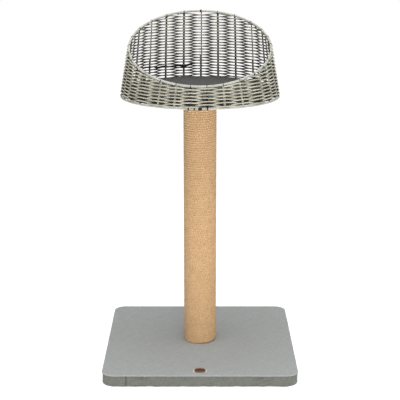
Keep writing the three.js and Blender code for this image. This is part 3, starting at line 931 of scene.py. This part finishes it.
def winding_tree():
    """A rope wound in turns, with lobes that twist along it."""
    tree, given = new_tree("Laid rope in turns", {
        "First Turn": "Float", "Turns": "Float", "Winding Radius": "Float",
        "Pitch": "Float", "Foot": "Float", "Start Angle": "Float",
        "Radius": "Float", "Groove Depth": "Float", "Lay": "Float",
        "Unevenness": "Float", "Steps Per Turn": "Int", "Sides": "Int", "Material": "Material",
    })
    count = given["Turns"] * given["Steps Per Turn"] + 1
    line = field(tree, "GeometryNodeCurvePrimitiveLine")
    line = field(tree, "GeometryNodeResampleCurve", {"Curve": line, "Count": count})
    turns = given["First Turn"] + field(tree, "GeometryNodeInputIndex") / given["Steps Per Turn"]
    angle = given["Start Angle"] + turns * FULL_TURN
    radius = given["Winding Radius"]
    place = combined(
        tree, radius * angle.step("COSINE"), radius * angle.step("SINE"),
        given["Foot"] + turns * given["Pitch"],
    )
    wander = field(tree, "ShaderNodeTexNoise", {"Vector": place, "Scale": 28.0}, 1)
    inputs = {0: wander, 1: (0.5, 0.5, 0.5)}
    wander = field(tree, "ShaderNodeVectorMath", inputs, operation="SUBTRACT")
    inputs = {"Geometry": line, "Position": place + wander.times(given["Unevenness"])}
    line = field(tree, "GeometryNodeSetPosition", inputs)
    along = turns * (radius * FULL_TURN)
    line = keep_value(line, "along", along)
    line = field(tree, "GeometryNodeSetCurveNormal", {"Curve": line}, mode="Z_UP")
    inputs = {"Curve": line, "Tilt": along / given["Lay"] * FULL_TURN}
    line = field(tree, "GeometryNodeSetCurveTilt", inputs)

    profile, spot = round_profile(tree, given)
    across, up, _ = spot.parts()
    lobes = (up.step("ARCTAN2", across) * float(lobe_count)).step("COSINE")
    groove = ((1.0 - lobes) * 0.5).step("POWER", 2.0)
    profile = keep_value(profile, "groove", groove)
    shrunk = spot.times(1.0 - groove * given["Groove Depth"])
    inputs = {"Geometry": profile, "Position": shrunk}
    return sweep(line, field(tree, "GeometryNodeSetPosition", inputs), given["Material"])


winding = winding_tree()
print("tree:", winding.name, "with", len(winding.nodes), "nodes")

# %% Wind the rope
rope_turns = 106
rope_pitch = 6.2 * MM
rope_half = 2.85 * MM
pressed_half = 5.4 * MM
pressed_in = 2.2 * MM
rope_line = float(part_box("rope_middle")[1].x) - rope_half
rope_foot = float(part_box("rope_lower_turns")[0].z) + rope_half
rope_pieces = []
for name, first, turns, node in (
    ("rope_lower_winding", 0, 12, "rope_lower_turns"),
    ("rope_middle_winding_a", 12, 41, "rope_middle"),
    ("rope_middle_winding_b", 53, 41, "rope_middle"),
    ("rope_upper_winding", 94, 12, "rope_upper_turns"),
):
    piece = grown(
        name, node, "rope", winding, path_object([np.zeros((1, 3))]),
        first_turn=float(first), turns=float(turns), winding_radius=rope_line - pressed_in,
        pitch=rope_pitch, foot=rope_foot, start_angle=math.radians(-190),
        radius=pressed_half, groove_depth=0.16, lay=17 * MM, unevenness=0.6 * MM,
        steps_per_turn=140, sides=12, material=natural_rope,
    )
    rope_pieces.append((piece, node))
    print(f"{name}: {len(piece.data.polygons)} faces")
rope_length = rope_turns * math.hypot(FULL_TURN * rope_line, rope_pitch)
print(f"rope: {rope_turns} turns, {rope_length:.1f} m")

# %% [markdown]
# Natural rope is hairy. Loose ends of fibre stand out of it in all directions, which softens
# the outline of the post. Geometry Nodes scatter them over the finished winding with a fixed
# seed. Each is only a three-sided sliver, because there are thousands of them.


# %% Loose fibres
def fibre_tree():
    """Slivers that stand out of a mesh in random directions."""
    tree, given = new_tree("Loose fibres", {
        "Density": "Float", "Length": "Float", "Radius": "Float", "Seed": "Int",
        "Material": "Material",
    })
    inputs = {"Mesh": given["Paths"], "Density": given["Density"], "Seed": given["Seed"]}
    roots = add(tree, "GeometryNodeDistributePointsOnFaces", inputs)
    inputs = {"Min": (-1.0, -1.0, -1.0), "Max": (1.0, 1.0, 1.0), "Seed": given["Seed"]}
    stray = field(tree, "FunctionNodeRandomValue", inputs, data_type="FLOAT_VECTOR")
    inputs = {"Vector": stray + Field(roots.outputs["Normal"]).times(0.5)}
    way = field(tree, "FunctionNodeAlignRotationToVector", inputs, axis="Z")
    inputs = {"Vertices": 3, "Radius": given["Radius"], "Depth": given["Length"]}
    sliver = field(tree, "GeometryNodeMeshCylinder", inputs)
    shift = combined(tree, 0.0, 0.0, given["Length"] * 0.45)
    sliver = field(tree, "GeometryNodeTransform", {"Geometry": sliver, "Translation": shift})
    inputs = {2: 0.4, 3: 1.0, "Seed": given["Seed"]}
    size = field(tree, "FunctionNodeRandomValue", inputs, 1, data_type="FLOAT")
    inputs = {"Points": Field(roots.outputs[0]), "Instance": sliver, "Rotation": way,
              "Scale": size}
    return close_tree(field(tree, "GeometryNodeInstanceOnPoints", inputs), given["Material"])


loose_fibres = fibre_tree()
for seed, (wound, node) in enumerate(rope_pieces):
    piece = grown(
        wound.name.replace("winding", "fibres"), node, "rope", loose_fibres, wound,
        density=14000.0, length=4.5 * MM, radius=0.09 * MM, seed=seed, material=natural_rope,
    )
    print(f"{piece.name}: {len(piece.data.polygons)} faces")

# %% [markdown]
# ## Weaving
# One round strand goes in front of one stake and behind the next. With an odd number of
# stakes it meets each stake from the other side on its next lap, so a single strand weaves
# the whole wall by itself. At a stake the strand in front rides up and the one behind slips
# down, so the rows lie in pairs there and leave eye-shaped holes between the pairs. The
# first laps run level, and each steps up over its own start at the back. Above the front rim
# the strand can't go all the way round any more: it turns back below the rim on one side and
# runs to the other, row after row.

# %% Path of the strand
strand_radius = 1.62 * MM
row_pitch = 3.9 * MM
wave_depth = 3.28 * MM
wave_rise = 1.8 * MM
wall_bottom = 5.3 * MM
first_row = wall_bottom + strand_radius
start_place = 13.0
rim_clear = (wire_radius + strand_radius + 0.1 * MM) * math.hypot(1, rim_slope)
front_limit = float(below_rim(0.0, rim_clear))
top_height = float(below_rim(np.pi, rim_clear))
laps = int((front_limit - first_row) / row_pitch) + 1
steps_per_stake = 14


def unrest(place, row):
    """Small changes of height along a row, because the strand is laid by hand."""
    turn = place / stake_count * FULL_TURN
    return 0.2 * MM * (np.sin(3 * turn + 1.7 * row) + np.sin(7 * turn - 2.3 * row))


def strand_at(place, height, flip=1):
    """Points of the strand, which waves outwards and up and inwards and down."""
    wave = flip * np.cos(np.pi * place)
    freedom = np.clip((height - first_row) / row_pitch, 0.1, 1)
    level = height + wave_rise * wave * freedom
    turn = turn_at(place, level)
    level = np.clip(level, wall_bottom + strand_radius, below_rim(turn, rim_clear))
    return on_wall(turn, wave_depth * wave, level)


def eased(share):
    """A share from 0 to 1 that starts and ends softly."""
    return share**2 * (3 - 2 * share)


lap_places = np.arange(start_place, start_place + laps * stake_count, 1 / steps_per_stake)
lap, lap_share = np.divmod((lap_places - start_place) / stake_count, 1)
climb = np.clip((lap_share - 0.9) / 0.1, 0, 1)
lap_heights = first_row + row_pitch * (lap + eased(climb))
lap_heights += unrest(lap_places, np.floor(lap_places / stake_count))
lower_rows = strand_at(lap_places, lap_heights)
last_place = start_place + laps * stake_count
last_height = first_row + row_pitch * laps
print(f"{laps} full laps, up to {last_height / MM:.1f} mm")

# %% Rows that turn back below the rim
front_place = -0.42
back_place = 13.05
whole_laps = laps * stake_count
row_count = int((top_height - last_height) / row_pitch + 0.4)
catch_up_rows = 12
catch_up_stakes = 2.7


def row_end(height, way):
    """The place where a row of this height meets the rim's underside. The way is 1 on the
    side where places grow and -1 on the other."""
    far = front_place + (stake_count if way > 0 else 0)
    places = np.linspace(back_place, far, 1600)
    limits = below_rim(turn_at(places, height), rim_clear)
    return float(places[np.argmax(limits < height)]) + whole_laps


def turning_place(height, way):
    """Where a row turns back: just below the rim, or round the last stake before it."""
    end = row_end(height, way) - way * 0.06
    stake = round(end)
    past_stake = (end - stake) * way
    return stake + way * 0.1 if 0.1 < past_stake < 0.25 else end


def bend_back(start, end, flip, bulge):
    """The loop from the end of one row to the beginning of the next one above it."""
    angle = np.linspace(-np.pi / 2, np.pi / 2, 9)[1:-1]
    share = (1 + np.sin(angle)) / 2
    place = start[0] + (end[0] - start[0]) * share + bulge * np.cos(angle)
    waves = flip * math.cos(math.pi * start[0]), -flip * math.cos(math.pi * end[0])
    wave = waves[0] * (1 - share) + waves[1] * share
    level = start[1] + (end[1] - start[1]) * share + wave_rise * wave
    turn = turn_at(place, level)
    level = np.minimum(level, below_rim(turn, rim_clear))
    return on_wall(turn, wave_depth * wave, level)


def row_level(row, place):
    """The height of a short row. Beside the last full lap, the rows start one row lower on
    the side that the strand reaches second, and catch up over the next dozen."""
    late = np.clip((last_place - place) / catch_up_stakes, 0, 1)
    behind = max(0.0, 1 - (row - 1) / catch_up_rows)
    return last_height + row_pitch * (row - behind * eased(late))


short_rows = []
way = 1
here = last_place
for row in range(row_count):
    flip = 1 if row % 2 == 0 else -1
    far_side = last_place + way * stake_count / 3
    end = turning_place(float(row_level(row, far_side)), way)
    count = max(3, int(abs(end - here) * steps_per_stake))
    places = np.linspace(here, end, count)
    levels = row_level(row, places) + unrest(places, row)
    short_rows.append(strand_at(places, levels, flip))
    if row < row_count - 1:
        next_level = float(row_level(row + 1, far_side))
        next_end = turning_place(next_level, way)
        after = (next_end, next_level)
        short_rows.append(bend_back((end, float(levels[-1])), after, flip, way * 0.07))
        here = next_end
    way = -way
upper_rows = np.vstack(short_rows)
print(f"{row_count} short rows, {len(upper_rows)} steps")

# %% Weave it
for name, path in (("weave_lower_rows", lower_rows), ("weave_upper_rows", upper_rows)):
    piece = tube(name, "basket_weave", "wicker", [path], strand_radius, wicker)
    length = float(np.linalg.norm(np.diff(path, axis=0), axis=1).sum())
    print(f"{name}: {length:.1f} m of strand, {len(piece.data.polygons)} faces")

# %% [markdown]
# ## Rim, ring and stakes
# The rim and the bottom ring are bent from coated wire. The stakes are pairs of rods, and a
# tight turn of thinner rod ties each one to the rim. The ties are coloured near black, which
# paints the shade of a dark notch there. Most rods are coloured dark too: a little darker
# than the strand of their own, and the rest is painted shade. Four pairs near the front are
# as pale as the strand. Three stakes at the back are a single rod in their upper part.

# %% Rim, ring and cross wires
ring_turns = FULL_TURN * np.arange(360) / 360
rim_line = on_wall(ring_turns, 0.0, below_rim(ring_turns, 0.0))
ring_line = on_wall(ring_turns, 0.0, wire_radius)
rim_radius = wire_radius + 0.35 * MM
tube("rim_tube", "rim_ring", "wire", [rim_line], rim_radius, rim_coat, 16, True)
tube("ring_tube", "bottom_ring", "wire", [ring_line], wire_radius, rim_coat, 16, True)
for node in ("cross_wire_front", "cross_wire_back"):
    low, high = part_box(node)
    middle = (low + high) / 2
    ends = np.array([[low.x, middle.y, middle.z], [high.x, middle.y, middle.z]])
    tube(f"{node}_tube", node, "wire", [ends], wire_radius, rim_coat, 16)
print("rim, ring and two cross wires")

# %% Stakes
rod_radius = 1.3 * MM
rod_aside = 1.35 * MM
rod_bottom = 4 * MM
under_rim = 1.5 * MM
single_stakes = {10: 78 * MM, 13: 82 * MM, 16: 78 * MM}
pale_stakes = (1, 2, 24, 25)
back_stake = 13
tie_steps = 18
tie_start = -1.9
tie_pitch = 1.2 * MM


def rod_in_wall(turn, side, low, high):
    """A stake's rod: it follows the lean of the stakes, a little to one side."""
    heights = np.linspace(low, high, 14)
    return on_wall(leaned(turn, heights), 0.0, heights, side)


def rim_crossing(turn):
    """The angle and height at which a stake reaches the rim."""
    top = turn
    for _ in range(8):
        top = leaned(turn, below_rim(top, 0.0))
    return top, float(below_rim(top, 0.0))


def tie_round_wire(turn, top, turns):
    """Tight turns of thin rod round the rim or the ring, with their ends in the wall."""
    reach = wire_radius + 0.6 * MM
    count = tie_steps * turns
    angle = np.linspace(0, FULL_TURN * turns, count) + tie_start
    side = np.linspace(-0.5, 0.5, count) * turns * tie_pitch
    return on_wall(turn, reach * np.cos(angle), top + reach * np.sin(angle), side)


rim_ties = []
for i, degrees in enumerate(stake_degrees):
    turn = math.radians(degrees)
    rim_turn, top = rim_crossing(turn)
    rods = [
        rod_in_wall(turn, -rod_aside, rod_bottom, top - under_rim),
        rod_in_wall(turn, rod_aside, rod_bottom, single_stakes.get(i, top - under_rim)),
    ]
    node = f"stake_{i + 1:02d}"
    # The dark rod colour is mostly painted shade; the pale stakes keep the strand's colour.
    finish = wicker if i in pale_stakes else painted_shade_rod
    tube(f"{node}_rods", node, "stake_rod", rods, rod_radius, finish)
    rim_ties.append(tie_round_wire(rim_turn, top, 3 if i == back_stake else 1))
# The ties' near black colour paints the shade of the notches at the rim.
tube("rim_ties", "rim_ring", "stake_rod", rim_ties, 0.9 * MM, painted_shade_tie)
print(f"{stake_count} stakes, each tied to the rim")

# %% [markdown]
# Where a length of strand ends, the next one begins beside it, and the two lie double for a
# hand's width. The weaver also tied the ring at the front with a few turns of thin rod.

# %% Splice and binding
splice_points = np.array([
    # place in stakes, height in mm
    (13.45, 62), (13.65, 58.5), (14.0, 54), (14.35, 56.5), (14.75, 53),
    (15.2, 55), (15.55, 52), (15.8, 56), (16.1, 57), (16.4, 58),
])
double_up_to = 14.55
beside_gap = 2.7 * MM
splice_line = through(splice_points * (1, 0.1), 0.03) * (1, 10)
splice_places, splice_heights = splice_line[:, 0], splice_line[:, 1] * MM
splice_inward = np.interp(splice_places, (14.5, 15.0), (3.6, 2.6)) * MM
splice_out = -0.7 * wave_depth * np.cos(np.pi * splice_places) - splice_inward
splice_paths = []
for part, drop in ((splice_places > 0, 0.0), (splice_places < double_up_to, beside_gap)):
    level = splice_heights[part] - drop
    splice_paths.append(on_wall(turn_at(splice_places[part], level), splice_out[part], level))
ring_ties = [
    tie_round_wire(math.radians(degrees), wire_radius, turns)
    for degrees, turns in ((-7.8, 2), (-3.7, 2), (0.1, 7), (5.1, 2))
]
# The splice is coloured like the shaded rods: its dark colour is painted shade.
tube("weave_splice", "basket_weave", "wicker", splice_paths, 1.7 * MM, painted_shade_rod)
# The binding's near black colour paints the shade of the notches at the ring.
tube("ring_binding", "bottom_ring", "wicker", ring_ties, 1.0 * MM, painted_shade_tie)
print("splice and binding done")

# %% [markdown]
# ## The pad
# A thin foam pad in dark cloth lies on the basket's floor. Its cover is filled a little more
# than its edge allows, so it swells between the seam round its side. Cloth simulation with
# some pressure and no gravity gives that shape. The result is applied, so the piece keeps a
# plain mesh.

# %% Pad
pad_low, pad_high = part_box("seat_pad")
pad_radius = float(pad_high.x - pad_low.x) / 2
pad_bottom, pad_top = float(pad_low.z), float(pad_high.z)
pad_middle = pad_bottom + 3.4 * MM
pad_swell = 0.35 * MM
voxel = 4 * MM
most_push = 1.3 * MM
last_frame = 20


def pad_skin():
    """The pad's cover as rings round its middle, from its top over the edge to below."""
    angles = FULL_TURN * np.arange(180) / 180
    circle = np.column_stack([np.cos(angles), np.sin(angles)])
    top_shares = np.concatenate([np.linspace(0.03, 0.93, 34), np.linspace(0.945, 1.0, 7)])
    low_shares = np.concatenate([np.linspace(0.995, 0.945, 6), np.linspace(0.9, 0.06, 16)])
    rings, cloth = [], []
    for share in top_shares:
        wave = np.sin(angles * 5 + 1) * np.sin(share * 7) + np.sin(angles * 3 - share * 9)
        level = pad_middle + (pad_top - pad_middle) * (1 - share**18) ** 0.5
        level = level + pad_swell * wave * (1 - share**6)
        rings.append(np.column_stack([circle * pad_radius * share, level]))
        cloth.append(circle * pad_radius * share)
    for share in low_shares:
        level = pad_middle - (pad_middle - pad_bottom) * (1 - share**18) ** 0.5
        level = np.full(len(angles), level)
        rings.append(np.column_stack([circle * pad_radius * share, level]))
        cloth.append(circle * pad_radius * (2 - share))
    caps = ((0, 0, pad_top), (0, 0, pad_bottom))
    return skin("seat_pad_cloth", np.array(rings), pad_cloth, np.array(cloth), caps)


def points_of(mesh):
    """The places of a mesh's points."""
    places = np.zeros(len(mesh.vertices) * 3, np.float32)
    mesh.vertices.foreach_get("co", places)
    return places.reshape(-1, 3).astype(float)


def filled(slack):
    """The same cover after its foam has pushed it out: a cloth simulation with pressure and
    no gravity, whose push on each point is capped."""
    cloth = slack.copy()
    cloth.data = slack.data.copy()
    bpy.context.scene.collection.objects.link(cloth)
    bpy.data.objects.remove(slack)
    remesh = cloth.modifiers.new("even mesh", "REMESH")
    remesh.mode, remesh.voxel_size = "VOXEL", voxel
    cloth.data = plain_mesh(cloth)
    start = points_of(cloth.data)
    simulation = cloth.modifiers.new("pressure", "CLOTH")
    settings = simulation.settings
    settings.quality = 4
    settings.mass = 0.2
    settings.tension_stiffness = settings.compression_stiffness = 8
    settings.bending_stiffness = 0.2
    settings.use_pressure = True
    settings.uniform_pressure_force = 4
    settings.effector_weights.gravity = 0
    simulation.point_cache.frame_start, simulation.point_cache.frame_end = 1, last_frame
    for frame_number in range(1, last_frame + 1):
        bpy.context.scene.frame_set(frame_number)
    cloth.data = plain_mesh(cloth)
    bpy.context.scene.frame_set(1)
    moved = points_of(cloth.data) - start
    length = np.linalg.norm(moved, axis=1, keepdims=True)
    ended = start + moved * np.minimum(1, most_push / np.maximum(length, 1e-9))
    ended[:, 2] = np.clip(ended[:, 2], pad_bottom, pad_top + 0.6 * MM)
    cloth.data.vertices.foreach_set("co", ended.astype(np.float32).ravel())
    finer = cloth.modifiers.new("finer", "SUBSURF")
    finer.levels = 1
    cloth.data = plain_mesh(cloth)
    cloth.name = cloth.data.name = "seat_pad_cloth"
    cloth.data.shade_smooth()
    cloth.data.materials.clear()
    cloth.data.materials.append(pad_cloth)
    lay_cloth(cloth.data, points_of(cloth.data)[:, :2])
    print(f"cover pushed out by up to {length.max() / MM:.1f} mm")
    return cloth


pad = pad_skin()
pad = filled(pad)
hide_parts("seat_pad")
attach(pad, "pad")
print(f"pad: {len(pad.data.polygons)} faces, {2 * pad_radius / MM:.0f} mm across")

# %% [markdown]
# ## Floor and light
# The photograph has a plain white ground. The floor looks white to the camera and keeps a
# faint shadow of the object. The object itself is lit at a plain level by an even sky and
# two large soft lamps, so that its colours come out about as they are written.

# %% White ground
half_floor = 6.0


def seen_directly(tree):
    """1 for what the camera sees, itself or in a mirror or glass, and 0 for the rest."""
    path = add(tree, "ShaderNodeLightPath").outputs
    seen = Field(path["Is Camera Ray"]).step("MAXIMUM", Field(path["Is Glossy Ray"]))
    return seen.step("MAXIMUM", Field(path["Is Transmission Ray"]))


def matt_and_bright(tree, shade, strength):
    """A matt grey that also gives off white light."""
    matt = field(tree, "ShaderNodeBsdfDiffuse", {"Color": (shade, shade, shade, 1)})
    light = field(tree, "ShaderNodeEmission", {"Color": (1, 1, 1, 1), "Strength": strength})
    return field(tree, "ShaderNodeAddShader", {0: matt, 1: light})


def by_view(tree, unseen, seen):
    """One shader for what lights the object and another for what is seen directly."""
    return field(tree, "ShaderNodeMixShader", {0: seen_directly(tree), 1: unseen, 2: seen})


ground = bpy.data.materials.new("white ground")
tree = cleared(ground)
both = by_view(tree, matt_and_bright(tree, 0.9, 0.5), matt_and_bright(tree, 0.5, 0.88))
add(tree, "ShaderNodeOutputMaterial", {"Surface": both})
floor_mesh = bpy.data.meshes.new("floor")
floor_corners = [
    (x * half_floor, y * half_floor, 0) for x, y in ((-1, -1), (1, -1), (1, 1), (-1, 1))
]
floor_mesh.from_pydata(floor_corners, [], [(0, 1, 2, 3)])
floor_mesh.materials.append(ground)
floor = stand_up("floor", floor_mesh)
floor.location.z = -0.2 * MM

world = bpy.data.worlds.new("white sky")
bpy.context.scene.world = world
tree = cleared(world)
sky, white = (
    field(tree, "ShaderNodeBackground", {"Color": (1, 1, 1, 1), "Strength": strength})
    for strength in (0.3, 1.0)
)
add(tree, "ShaderNodeOutputWorld", {"Surface": by_view(tree, sky, white)})
print("white ground and sky")


# %% Lamps
def soft_lamp(name, place, aim, size, watts):
    """A round lamp that looks from its place at its aim."""
    lamp = bpy.data.lights.new(name, "AREA")
    lamp.shape = "DISK"
    lamp.size = size
    lamp.energy = watts
    holder = bpy.data.objects.new(name, lamp)
    holder.location = place
    look = holder.location.copy()
    look.x, look.y, look.z = (a - b for a, b in zip(aim, place))
    holder.rotation_euler = look.to_track_quat("-Z", "Y").to_euler()
    bpy.context.scene.collection.objects.link(holder)


soft_lamp("lamp above", (0.1, -0.4, 2.9), (0, 0, 0.4), 3.2, 74)
soft_lamp("lamp front", (0.3, -3.2, 0.35), (0, 0, 0.5), 1.0, 48)
bpy.context.scene.view_settings.view_transform = "Standard"
print("lamps placed")
